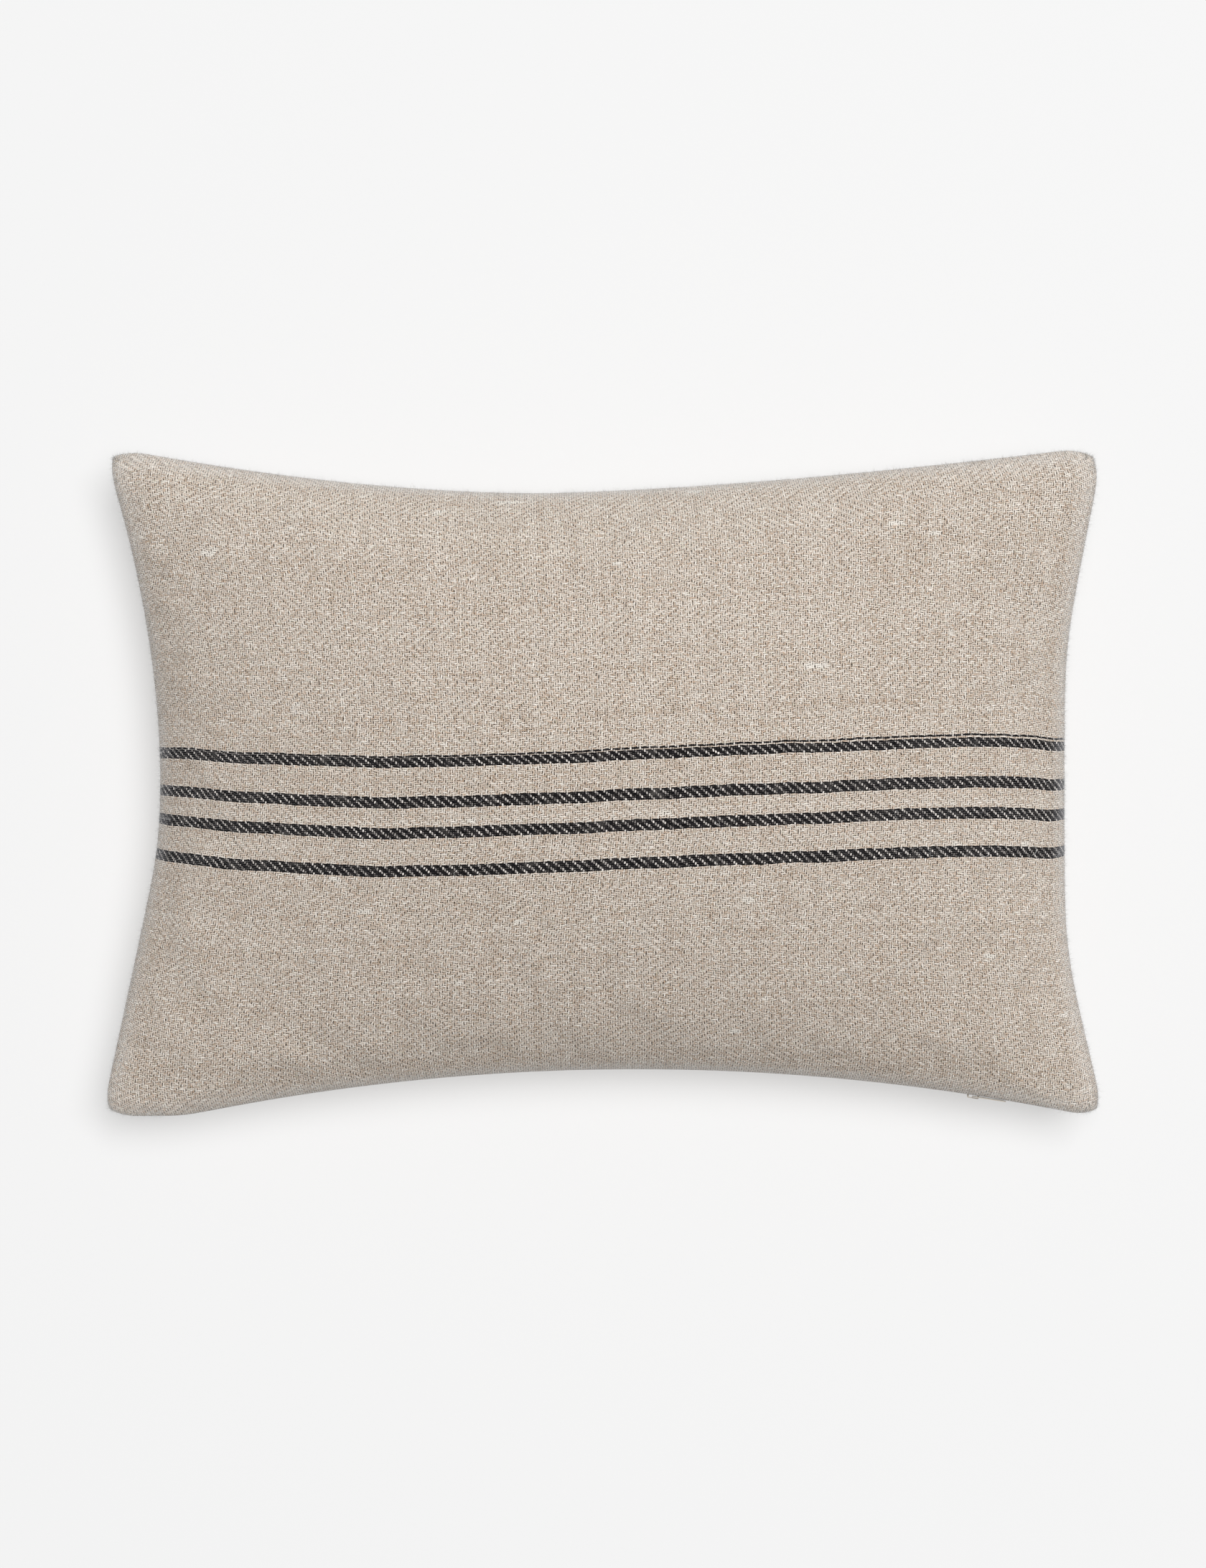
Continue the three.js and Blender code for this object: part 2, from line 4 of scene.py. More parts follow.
import bpy
import numpy as np
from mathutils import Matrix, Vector


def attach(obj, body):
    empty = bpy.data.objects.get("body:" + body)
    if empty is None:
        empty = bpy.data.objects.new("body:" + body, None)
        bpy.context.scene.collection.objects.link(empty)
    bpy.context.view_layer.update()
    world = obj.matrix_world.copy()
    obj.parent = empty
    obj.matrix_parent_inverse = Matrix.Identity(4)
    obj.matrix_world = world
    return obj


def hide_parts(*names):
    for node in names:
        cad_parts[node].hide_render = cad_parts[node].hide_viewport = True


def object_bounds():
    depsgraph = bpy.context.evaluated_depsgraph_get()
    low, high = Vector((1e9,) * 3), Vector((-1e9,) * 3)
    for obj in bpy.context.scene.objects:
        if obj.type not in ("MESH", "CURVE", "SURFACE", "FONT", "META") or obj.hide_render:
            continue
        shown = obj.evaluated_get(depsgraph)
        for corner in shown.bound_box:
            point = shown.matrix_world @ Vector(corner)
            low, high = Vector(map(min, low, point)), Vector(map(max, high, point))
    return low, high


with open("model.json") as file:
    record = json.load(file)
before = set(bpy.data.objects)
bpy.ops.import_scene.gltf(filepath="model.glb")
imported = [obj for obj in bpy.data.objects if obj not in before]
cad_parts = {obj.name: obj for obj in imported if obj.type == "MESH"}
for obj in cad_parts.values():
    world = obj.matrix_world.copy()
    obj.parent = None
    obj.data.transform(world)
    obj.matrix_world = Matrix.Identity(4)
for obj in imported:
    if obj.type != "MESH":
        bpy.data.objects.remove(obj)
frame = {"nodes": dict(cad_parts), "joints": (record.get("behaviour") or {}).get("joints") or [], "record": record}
CAD_LOW, CAD_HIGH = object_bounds()
MM = 0.001
RANDOM = np.random.default_rng(7)  # shared by all the fibres

# ---------------------------------------------------------------- pillow shape, in millimetres
# Grid parameters: a runs from -1 at the left seam to 1 at the right one, b from -1 at the zippered
# seam to 1 at the far one. side is 1 for the upper, front face and -1 for the back.
SEAM_Z = frame["joints"][0]["pos_m"][2] / MM  # the seam's plane above the floor
HALF_X = 302.0  # from the middle to the corner tips, before they are rounded off
HALF_Y = 202.5
CROWN = CAD_HIGH.z / MM - SEAM_Z
ARC_X, ARC_Y = (c / MM for c in frame["joints"][0]["pos_m"][:2])  # the zippered seam's centre
ARC_RADIUS = 1330.0
CORNER_DIP = 1.0  # the zippered seam is drawn in by this much where its arc ends
LEFT_DIP = 35.3  # how far the middle of each other seam is drawn in
RIGHT_DIP = 24.0
BACK_DIP = 28.8
BACK_LOWEST = -40.0  # where along X the far seam is drawn in most
FULLNESS = 0.7
EDGE_SHARPNESS = 16
CORNER_REACH = {"back": 30.0, "front": 22.0}  # how far from a corner tip its rounding starts
CORNER_CUT = {"back": 7.0, "front": 4.6}
SEAM_GAP = 0.3
BEVEL = 0.45  # rounding of the fold at the seam
COVER = {"cloth": 0.9, "fold": 2.6, "allowance": 10.5, "step": 0.2, "edge": 7.0, "edge_inside": 3.5}
INSERT = {"cloth": 0.4, "fold": 2.0, "allowance": 8.0, "step": 0.2, "edge": 4.0, "edge_inside": 3.0}
COVER_GRID = (320, 216)
INSERT_GRID = (120, 80)
INNER_STRIDE = 4  # a panel's inner face has every fourth line of its outer face's grid
INNER_FROM_SEAM = -20.0  # stands for the distance to the seam on the inner face
INSERT_INSET = 13.0
INSERT_CLEARANCE = 0.8
SLIT = 1.8  # between the folds along the zipper
SLIT_HALF = 262.0
SLIT_FADE = 12.0
CHANNEL = 6.4  # between the allowances along the zipper, for its tapes
FLOOR_SOFTNESS = 2.5  # how gradually the underside meets the floor
WRINKLE_GRID = (150, 100)
WRINKLE_FRAMES = 20
WRINKLE_LIMITS = (-0.3, 2.2)
WRINKLE_START = 0.15  # unevenness of the cloth before it settles
WRINKLE_ONSET = (1, 12)  # how far from the seam the wrinkles begin, and where they are full
WRINKLE_HEIGHTS = (3, 25)  # the same above the floor
BROAD_PASSES = 60  # smoothing that leaves only the pillow's own swelling
FINE_PASSES = 3
EASE = 0.035  # how much longer than its place the cloth is, right beside the seams
EASE_REACH = 80.0


def smoothstep(x, low, high):
    t = np.clip((x - low) / (high - low), 0, 1)
    return t * t * (3 - 2 * t)


def soft_plus(x, soft):
    """0 below 0 and x above it, rounded off by soft around 0."""
    return soft * np.log1p(np.exp(np.clip(x / soft, -30, 200)))


def back_dip(x):
    """How far the seam opposite the zipper is drawn in."""
    power = np.where(x < BACK_LOWEST, 1.8, 1.5)
    reach = np.where(x < BACK_LOWEST, HALF_X + BACK_LOWEST, HALF_X - BACK_LOWEST)
    return BACK_DIP * (1 - (np.abs(x - BACK_LOWEST) / reach) ** power)


def front_dip(x):
    """The zippered seam is one arc, eased off where it would pass the corners."""
    arc = HALF_Y + ARC_Y + np.sqrt(ARC_RADIUS ** 2 - (x - ARC_X) ** 2)
    return CORNER_DIP + soft_plus(arc - CORNER_DIP, CORNER_DIP)


def bent_dip(pull, b, start, soft):
    """A seam that is straight around its middle and bends outwards towards the corner."""
    def bend(t):
        return soft_plus(t - start, soft)
    return pull * (1 - (bend(np.abs(b)) - bend(0.0)) / (bend(1.0) - bend(0.0)))


def left_dip(b):
    near_zipper = bent_dip(LEFT_DIP, b, start=0.18, soft=0.06)
    return np.where(b < 0, near_zipper, LEFT_DIP * (1 - np.abs(b) ** 1.9))


def right_dip(b):
    near_zipper = bent_dip(RIGHT_DIP, b, start=0.5, soft=0.07)
    return np.where(b < 0, near_zipper, bent_dip(RIGHT_DIP, b, start=0.4, soft=0.07))


def plan(a, b, inset):
    """X and Y of the grid parameters, an inset away from the seams."""
    half_x = HALF_X - inset
    half_y = HALF_Y - inset
    x = a * (half_x - np.where(a < 0, left_dip(b), right_dip(b)))
    y = b * (half_y - np.where(b < 0, front_dip(a * half_x), back_dip(a * half_x)))
    reach = np.where(b < 0, CORNER_REACH["front"], CORNER_REACH["back"])
    near_x = np.clip(1 - (1 - np.abs(a)) * half_x / reach, 0, 1)
    near_y = np.clip(1 - (1 - np.abs(b)) * half_y / reach, 0, 1)
    cut = np.where(b < 0, CORNER_CUT["front"], CORNER_CUT["back"]) * near_x ** 2 * near_y ** 2
    return x - np.sign(a) * cut, y - np.sign(b) * cut


def swell(a, b):
    return np.clip((1 - a * a) * (1 - b * b), 0, None) ** FULLNESS


def edge_ramp(a, b):
    return np.sqrt(np.clip((1 - a ** EDGE_SHARPNESS) * (1 - b ** EDGE_SHARPNESS), 0, None))


def zipper_zone(a, b):
    """1 at the zippered seam and 0 away from it."""
    along = 1 - smoothstep(np.abs(a) * HALF_X, SLIT_HALF, SLIT_HALF + SLIT_FADE)
    return along * np.clip(-b, 0, None) ** 12


def no_zipper(a, b):
    return 0 * a


def half_slit(zone, a, b):
    """Half the gap between the two faces' folds."""
    return SEAM_GAP / 2 + zone(a, b) * (SLIT - SEAM_GAP) / 2


def allowance_lift(spec, zone, a, b):
    """How much farther apart the two faces' allowances are than their folds, on each side."""
    return spec["step"] + zone(a, b) * (CHANNEL / 2 - SLIT / 2 - spec["step"])


def outer_layer(spec, inset, crown, floor, zone):
    return {
        "inset": inset,
        "base": lambda a, b: half_slit(zone, a, b) + BEVEL,
        "edge": spec["edge"],
        "crown": crown,
        "floor": floor,
    }


def inner_layer(spec, inset, crown, floor, zone):
    return {
        "inset": inset + spec["fold"],
        "base": lambda a, b: (
            half_slit(zone, a, b) + allowance_lift(spec, zone, a, b) + spec["cloth"]),
        "edge": spec["edge_inside"],
        "crown": crown - spec["cloth"],
        "floor": floor + spec["cloth"],
    }


def layer_point(layer, side, a, b):
    x, y = plan(a, b, layer["inset"])
    base = layer["base"](a, b)
    swollen = (layer["crown"] - base - layer["edge"]) * swell(a, b)
    rise = base + layer["edge"] * edge_ramp(a, b) + swollen
    z = SEAM_Z + side * rise
    if side < 0:
        z = layer["floor"] + soft_plus(z - layer["floor"], FLOOR_SOFTNESS)
    return np.stack([x, y, z], -1)


# ---------------------------------------------------------------- meshes
def spread(count, crowding=0.8):
    """Grid parameters from -1 to 1 that crowd towards the seam, where the cloth curves most."""
    t = np.linspace(-1, 1, count + 1)
    return (1 - crowding) * t + crowding * np.sin(math.pi * t / 2)


def grid_faces(first, columns, rows, flip):
    j, i = np.mgrid[0:rows, 0:columns]
    p = (first + j * (columns + 1) + i).ravel()
    ring = [p, p + 1, p + columns + 2, p + columns + 1]
    return np.stack(ring[::-1] if flip else ring, 1).tolist()


def grid_rim(columns, rows):
    """Column, row and index of each point around the edge of a grid."""
    cells = [(i, 0) for i in range(columns)] + [(columns, j) for j in range(rows)]
    cells += [(i, rows) for i in range(columns, 0, -1)] + [(0, j) for j in range(rows, 0, -1)]
    i, j = np.array(cells).T
    return i, j, j * (columns + 1) + i


def strip_faces(lower, upper):
    """Joins two loops; the upper one may have fewer points, by a whole ratio."""
    faces = []
    count, ratio = len(lower), len(lower) // len(upper)
    for k in range(count):
        following = (k + 1) % count
        near, far = upper[k // ratio], upper[(following // ratio) % len(upper)]
        if ratio == 1:
            faces.append([lower[k], lower[following], far, near])
        elif near == far:
            faces.append([lower[k], lower[following], near])
        else:
            faces += [[lower[k], lower[following], near], [lower[following], far, near]]
    return faces


def new_mesh(name, points, faces):
    mesh = bpy.data.meshes.new(name)
    mesh.from_pydata((np.asarray(points) * MM).tolist(), [], faces)
    mesh.validate()
    mesh.polygons.foreach_set("use_smooth", [True] * len(mesh.polygons))
    piece = bpy.data.objects.new(name, mesh)
    bpy.context.scene.collection.objects.link(piece)
    return piece


def outward(points, faces):
    """Turns every face over if the closed surface is inside out."""
    volume = 0.0
    for face in faces:
        p = points[face[0]]
        for q, r in zip(face[1:-1], face[2:]):
            volume += float(np.dot(p, np.cross(points[q], points[r])))
    return faces if volume > 0 else [face[::-1] for face in faces]


def cloth_lengths(points, columns, rows):
    """Distances along the cloth: from its middle both ways, and from the nearest seam."""
    grid = points.reshape(rows + 1, columns + 1, 3)
    along_x = np.linalg.norm(np.diff(grid, axis=1), axis=2)
    along_y = np.linalg.norm(np.diff(grid, axis=0), axis=2)
    u = np.concatenate([np.zeros((rows + 1, 1)), np.cumsum(along_x, 1)], 1)
    v = np.concatenate([np.zeros((1, columns + 1)), np.cumsum(along_y, 0)], 0)
    middle_row, middle_column = rows // 2, columns // 2
    from_seam = np.minimum(np.minimum(u, u[:, -1:] - u), np.minimum(v, v[-1:, :] - v))
    u = (u / u[:, -1:] - 0.5) * u[middle_row, -1]
    v = (v / v[-1:, :] - 0.5) * v[-1, middle_column]
    return np.stack([u, v, from_seam], -1)


def sewn_panel(name, side, spec, inset, crown, floor, zone, place, grid):
    """One face of a sewn cover: the cloth turns in at the seam and ends in a flat allowance.

    The mesh's attribute "cloth" holds what cloth_lengths gives, in metres."""
    columns, rows = grid
    a, b = np.meshgrid(spread(columns), spread(rows))
    points = place(outer_layer(spec, inset, crown, floor, zone), side, a, b).reshape(-1, 3)
    lengths = cloth_lengths(points, columns, rows)
    i, j, rim = grid_rim(columns, rows)
    rim_a, rim_b = spread(columns)[i], spread(rows)[j]
    slit = half_slit(zone, rim_a, rim_b)
    raised = slit + allowance_lift(spec, zone, rim_a, rim_b)
    parts, cloth, loops = [points], [lengths.reshape(-1, 3)], [rim]
    count = len(points)
    for inwards, height in (
        (BEVEL, slit),
        (spec["fold"], slit),
        (spec["fold"], raised),
        (spec["allowance"], raised),
        (spec["allowance"], raised + spec["cloth"]),
    ):
        x, y = plan(rim_a, rim_b, inset + inwards)
        parts.append(np.stack([x, y, SEAM_Z + side * height], 1))
        cloth.append(cloth[0][rim] - [0, 0, inwards])
        loops.append(np.arange(count, count + len(rim)))
        count += len(rim)

    inner = inner_layer(spec, inset, crown, floor, zone)
    stride = slice(None, None, INNER_STRIDE)
    parts.append(place(inner, side, a[stride, stride], b[stride, stride]).reshape(-1, 3))
    inner_lengths = lengths[stride, stride].copy()
    inner_lengths[..., 2] = INNER_FROM_SEAM
    cloth.append(inner_lengths.reshape(-1, 3))
    inner_columns, inner_rows = columns // INNER_STRIDE, rows // INNER_STRIDE
    loops.append(count + grid_rim(inner_columns, inner_rows)[2])
    faces = grid_faces(0, columns, rows, False)
    faces += grid_faces(count, inner_columns, inner_rows, True)
    for lower, upper in zip(loops, loops[1:]):
        faces += [face[::-1] for face in strip_faces(lower.tolist(), upper.tolist())]
    points = np.concatenate(parts)
    piece = new_mesh(name, points, outward(points, faces))
    attribute = piece.data.attributes.new("cloth", "FLOAT_VECTOR", "POINT")
    values = (np.concatenate(cloth) * MM).astype(np.float32)
    attribute.data.foreach_set("vector", values.ravel())
    return piece


# ---------------------------------------------------------------- wrinkles, by cloth simulation
def unit(vectors):
    return vectors / np.maximum(np.linalg.norm(vectors, axis=-1, keepdims=True), 1e-9)


def straight_out(layer, side, a, b):
    """The directions straight out of a layer."""
    step = 1e-4
    a, b = np.clip(a, 2 * step - 1, 1 - 2 * step), np.clip(b, 2 * step - 1, 1 - 2 * step)
    along_x = layer_point(layer, side, a + step, b) - layer_point(layer, side, a - step, b)
    along_y = layer_point(layer, side, a, b + step) - layer_point(layer, side, a, b - step)
    return unit(np.cross(along_x, along_y) * side)


def cover_layer():
    return outer_layer(COVER, 0.0, CROWN, 0.0, zipper_zone)


def smoothed(field, passes):
    for _ in range(passes):
        padded = np.pad(field, 1, mode="edge")
        beside = padded[1:-1, :-2] + padded[1:-1, 2:] + padded[:-2, 1:-1] + padded[2:, 1:-1]
        field = (beside + 4 * field) / 8
    return field


def settle(piece, held, snug):
    """Lets the cloth, held along its seams and too long beside them, find its own wrinkles."""
    for name, weights in (("held", held), ("snug", snug)):
        group = piece.vertex_groups.new(name=name)
        for index, weight in enumerate(weights):
            if weight > 0:
                group.add([index], float(weight), "REPLACE")
    modifier = piece.modifiers.new("Cloth", "CLOTH")
    modifier.point_cache.frame_end = WRINKLE_FRAMES + 1
    modifier.collision_settings.use_collision = False
    cloth = modifier.settings
    cloth.quality = 5
    cloth.mass = 0.3
    cloth.tension_stiffness = cloth.compression_stiffness = 40
    cloth.shear_stiffness = 15
    cloth.bending_stiffness = 0.5
    cloth.tension_damping = cloth.compression_damping = cloth.shear_damping = 15
    cloth.air_damping = 3
    cloth.vertex_group_mass = "held"
    cloth.vertex_group_shrink = "snug"
    cloth.shrink_min = -EASE  # negative shrinking makes the cloth longer
    cloth.shrink_max = -EASE * 0.25
    cloth.use_pressure = True
    cloth.uniform_pressure_force = 1.0
    cloth.effector_weights.gravity = 0
    for frame_number in range(1, WRINKLE_FRAMES + 1):
        bpy.context.scene.frame_set(frame_number)
    evaluated = piece.evaluated_get(bpy.context.evaluated_depsgraph_get())
    points = np.empty(len(piece.data.vertices) * 3, np.float32)
    evaluated.data.vertices.foreach_get("co", points)
    bpy.context.scene.frame_set(1)
    return points.reshape(-1, 3) / MM


def find_wrinkles():
    """How far the front face's cloth rises at each point of an even grid, in millimetres."""
    columns, rows = WRINKLE_GRID
    a, b = np.meshgrid(np.linspace(-1, 1, columns + 1), np.linspace(-1, 1, rows + 1))
    start, out = layer_point(cover_layer(), 1, a, b), straight_out(cover_layer(), 1, a, b)
    uneven = start + out * np.random.default_rng(3).normal(0, WRINKLE_START, a.shape)[..., None]
    on_seam = (a * a == 1) | (b * b == 1)
    uneven[on_seam] = start[on_seam]
    from_seam = np.minimum((1 - np.abs(a)) * HALF_X, (1 - np.abs(b)) * HALF_Y)
    piece = new_mesh("settling", uneven.reshape(-1, 3), grid_faces(0, columns, rows, False))
    snug = smoothstep(from_seam, 0, EASE_REACH)
    settled = settle(piece, on_seam.ravel() * 1.0, snug.ravel()).reshape(start.shape)
    bpy.data.objects.remove(piece)
    rise = ((settled - start) * out).sum(-1)
    fine = smoothed(rise - smoothed(rise, BROAD_PASSES), FINE_PASSES)
    return np.clip(fine, *WRINKLE_LIMITS) * smoothstep(from_seam, *WRINKLE_ONSET)


WRINKLES = find_wrinkles()


def wrinkle(side, a, b, z):
    """The same wrinkles on both faces, mirrored on the back and gone where it lies on the floor."""
    columns, rows = WRINKLE_GRID
    at_x = (np.clip(a, -1, 1) * side + 1) * columns / 2
    at_y = (np.clip(b, -1, 1) + 1) * rows / 2
    i = np.clip(at_x.astype(int), 0, columns - 1)
    j = np.clip(at_y.astype(int), 0, rows - 1)
    share_x, share_y = smoothstep(at_x - i, 0, 1), smoothstep(at_y - j, 0, 1)
    low = WRINKLES[j, i] * (1 - share_x) + WRINKLES[j, i + 1] * share_x
    high = WRINKLES[j + 1, i] * (1 - share_x) + WRINKLES[j + 1, i + 1] * share_x
    return (low * (1 - share_y) + high * share_y) * smoothstep(z, *WRINKLE_HEIGHTS)


def wrinkled(layer, side, a, b):
    points = layer_point(layer, side, a, b)
    out = straight_out(layer, side, a, b)
    return points + out * wrinkle(side, a, b, points[..., 2])[..., None]


# ---------------------------------------------------------------- loose fibres, in millimetres
FRONT_FUZZ = 20000  # short fibres along each face's seams
BACK_FUZZ = 5000
FUZZ_DEPTH = 2.6  # how far from the seam they stand, on average
FUZZ_RADIUS = 0.06
FUZZ_LENGTH = (0.8, 5.0)  # shortest and longest
FUZZ_LEAN = 0.45  # how unevenly they stand, as a share of their length
FUZZ_BEND = 0.7
FUZZ_ROOT = 0.2  # how far below the skin they start
FIBRE_TAPER = 0.6
STRAY_FIBRES = 420
STRAY_STEPS = 10
STRAY_LENGTH = (4, 12)
STRAY_RADIUS = (0.07, 0.13)
STRAY_ARCH = (0.3, 1.6)  # how far the middle of one stands off the skin
STRAY_LIFT = 0.1  # how far its ends do
STRAY_REACH = 0.97  # they start within this share of the face
STRAY_LIMIT = 0.995  # and stay within this one


def cover_skin(side, a, b):
    """Points of the cover's outer face and the directions straight out of it."""
    return wrinkled(cover_layer(), side, a, b), straight_out(cover_layer(), side, a, b)


def fibre_mesh(name, paths, radius):
    """Three-sided fibres that taper to a point, each closed at its root."""
    count, steps = paths.shape[:2]
    forward = unit(np.gradient(paths, axis=1))
    across = unit(np.cross(forward, unit(RANDOM.normal(size=(count, 1, 3)))))
    beside = np.cross(forward, across)
    taper = (1 - FIBRE_TAPER * np.arange(steps - 1) / (steps - 1))[None, :, None]
    thickness = radius[:, None, None] * taper
    rings = []
    for angle in (0, math.tau / 3, 2 * math.tau / 3):
        turned = across * math.cos(angle) + beside * math.sin(angle)
        rings.append(paths[:, :-1] + turned[:, :-1] * thickness)
    points = np.concatenate([np.stack(rings, 2).reshape(count, -1, 3), paths[:, -1:]], 1)
    one = [[2, 1, 0]]
    for low in range(0, 3 * (steps - 2), 3):
        one += [[low + k, low + (k + 1) % 3, low + 3 + (k + 1) % 3, low + 3 + k] for k in range(3)]
    top = 3 * (steps - 2)
    one += [[top + k, top + (k + 1) % 3, top + 3] for k in range(3)]
    size = points.shape[1]
    faces = [[first + k for k in face] for first in range(0, count * size, size) for face in one]
    return new_mesh(name, points.reshape(-1, 3), faces)


def edge_fuzz(side, count):
    """Short fibres that stand up where the cloth turns down to its seam."""
    depth = 1 - RANDOM.exponential(FUZZ_DEPTH / HALF_X, count)
    along = RANDOM.uniform(-1, 1, count)
    on_short_side = RANDOM.uniform(0, 1, count) < HALF_Y / (HALF_X + HALF_Y)
    sign = RANDOM.choice([-1.0, 1.0], count)
    a = np.where(on_short_side, sign * depth, along)
    b = np.where(on_short_side, along, sign * (1 - (1 - depth) * HALF_X / HALF_Y))
    clear = zipper_zone(a, b) < 0.8
    root, out = cover_skin(side, a[clear], b[clear])
    lean = unit(out + RANDOM.normal(0, FUZZ_LEAN, out.shape))
    bend = unit(lean + RANDOM.normal(0, FUZZ_BEND, out.shape))
    length = np.clip(RANDOM.lognormal(0.8, 0.45, len(root)), *FUZZ_LENGTH)[:, None]
    middle = root + lean * length * 0.5
    paths = np.stack([root - out * FUZZ_ROOT, middle, middle + bend * length * 0.5], 1)
    return paths, np.full(len(root), FUZZ_RADIUS)


def stray_fibres(count):
    """Long curly fibres that lie on the face."""
    length = RANDOM.uniform(*STRAY_LENGTH, count)
    heading = RANDOM.uniform(0, math.tau, count)[:, None]
    turning = RANDOM.normal(0, 0.55, (count, STRAY_STEPS)) + RANDOM.normal(0, 0.25, (count, 1))
    heading = heading + np.cumsum(turning, 1)
    stride = length[:, None] / STRAY_STEPS
    x = RANDOM.uniform(-STRAY_REACH, STRAY_REACH, count)[:, None] * HALF_X
    y = RANDOM.uniform(-STRAY_REACH, STRAY_REACH, count)[:, None] * HALF_Y
    a = (x + np.cumsum(np.cos(heading), 1) * stride) / HALF_X
    b = (y + np.cumsum(np.sin(heading), 1) * stride) / HALF_Y
    skin, out = cover_skin(1, *(np.clip(t, -STRAY_LIMIT, STRAY_LIMIT) for t in (a, b)))
    rounded = np.sin(np.linspace(0, math.pi, STRAY_STEPS))
    arch = rounded * RANDOM.uniform(*STRAY_ARCH, count)[:, None]
    return skin + out * (arch + STRAY_LIFT)[:, :, None], RANDOM.uniform(*STRAY_RADIUS, count)


# ---------------------------------------------------------------- shader arithmetic
def math_node(operation):
    """A method that adds one math node."""
    def method(wire, *others):
        node = wire.tree.nodes.new("ShaderNodeMath")
        node.operation = operation
        for slot, value in zip(node.inputs, (wire, *others)):
            plug(wire.tree, value, slot)
        return Wire(wire.tree, node.outputs[0])
    return method


class Wire:
    """A number in a node tree that Python arithmetic can be written with."""

    def __init__(self, tree, socket):
        self.tree, self.socket = tree, socket

    __add__ = __radd__ = math_node("ADD")
    __sub__ = math_node("SUBTRACT")
    __mul__ = __rmul__ = math_node("MULTIPLY")
    __truediv__ = math_node("DIVIDE")
    more = math_node("GREATER_THAN")
    less = math_node("LESS_THAN")
    max = math_node("MAXIMUM")
    min = math_node("MINIMUM")
    power = math_node("POWER")
    round = math_node("ROUND")
    abs = math_node("ABSOLUTE")
    cos = math_node("COSINE")
    sqrt = math_node("SQRT")
    pingpong = math_node("PINGPONG")

    def __neg__(self):
        return self * -1

    def __rsub__(self, other):
        return self * -1 + other

    def clamp(self, low, high):
        return self.max(low).min(high)

    def ramp(self, low, high, out_low=0.0, out_high=1.0):
        """Rises smoothly from out_low to out_high between low and high."""
        node = self.tree.nodes.new("ShaderNodeMapRange")
        node.interpolation_type = "SMOOTHSTEP"
        for slot, value in zip(node.inputs, (self, low, high, out_low, out_high)):
            plug(self.tree, value, slot)
        return Wire(self.tree, node.outputs[0])


def plug(tree, value, slot):
    if isinstance(value, Wire):
        tree.links.new(value.socket, slot)
    elif isinstance(value, bpy.types.NodeSocket):
        tree.links.new(value, slot)
    else:
        slot.default_value = value


def mix(tree, share, low, high):
    """A number between low and high."""
    node = tree.nodes.new("ShaderNodeMix")
    node.data_type = "FLOAT"
    for slot, value in zip((node.inputs[0], node.inputs[2], node.inputs[3]), (share, low, high)):
        plug(tree, value, slot)
    return Wire(tree, node.outputs[0])


def mix_colour(tree, share, low, high, blend="MIX"):
    node = tree.nodes.new("ShaderNodeMix")
    node.data_type = "RGBA"
    node.blend_type = blend
    for slot, value in zip((node.inputs[0], node.inputs[6], node.inputs[7]), (share, low, high)):
        plug(tree, value, slot)
    return node.outputs[2]


def vector(tree, x, y, z=0.0):
    node = tree.nodes.new("ShaderNodeCombineXYZ")
    for slot, value in zip(node.inputs, (x, y, z)):
        plug(tree, value, slot)
    return node.outputs[0]


def noise(tree, at, scale=1.0, detail=1.0, roughness=0.5):
    node = tree.nodes.new("ShaderNodeTexNoise")
    plug(tree, at, node.inputs["Vector"])
    node.inputs["Scale"].default_value = scale
    node.inputs["Detail"].default_value = detail
    node.inputs["Roughness"].default_value = roughness
    return Wire(tree, node.outputs["Fac"])


def random_of(tree, x, y=0.0):
    """A random number from 0 to 1 for each whole x and y."""
    node = tree.nodes.new("ShaderNodeTexWhiteNoise")
    node.noise_dimensions = "2D"
    plug(tree, vector(tree, x, y), node.inputs["Vector"])
    return Wire(tree, node.outputs["Value"])


def cloth_attribute(tree):
    """Distances along the cloth, in metres: u, v and from the nearest seam."""
    node = tree.nodes.new("ShaderNodeAttribute")
    node.attribute_name = "cloth"
    split = tree.nodes.new("ShaderNodeSeparateXYZ")
    tree.links.new(node.outputs["Vector"], split.inputs[0])
    return [Wire(tree, s) for s in split.outputs]


def object_position(tree):
    return tree.nodes.new("ShaderNodeTexCoord").outputs["Object"]


def new_material(name, roughness, **sockets):
    material = bpy.data.materials.new(name)
    material.use_nodes = True
    tree = material.node_tree
    shader = tree.nodes["Principled BSDF"]
    shader.inputs["Roughness"].default_value = roughness
    for socket, value in sockets.items():
        shader.inputs[socket.replace("_", " ")].default_value = value
    return material, tree, shader


def bump(tree, shader, height, distance, strength=1.0):
    node = tree.nodes.new("ShaderNodeBump")
    node.inputs["Strength"].default_value = strength
    node.inputs["Distance"].default_value = distance
    plug(tree, height, node.inputs["Height"])
    tree.links.new(node.outputs["Normal"], shader.inputs["Normal"])


def linear(red, green, blue):
    """A colour given as 8-bit sRGB, as the linear values a shader takes."""
    def one(value):
        c = value / 255
        return c / 12.92 if c <= 0.04045 else ((c + 0.055) / 1.055) ** 2.4
    return (one(red), one(green), one(blue), 1.0)


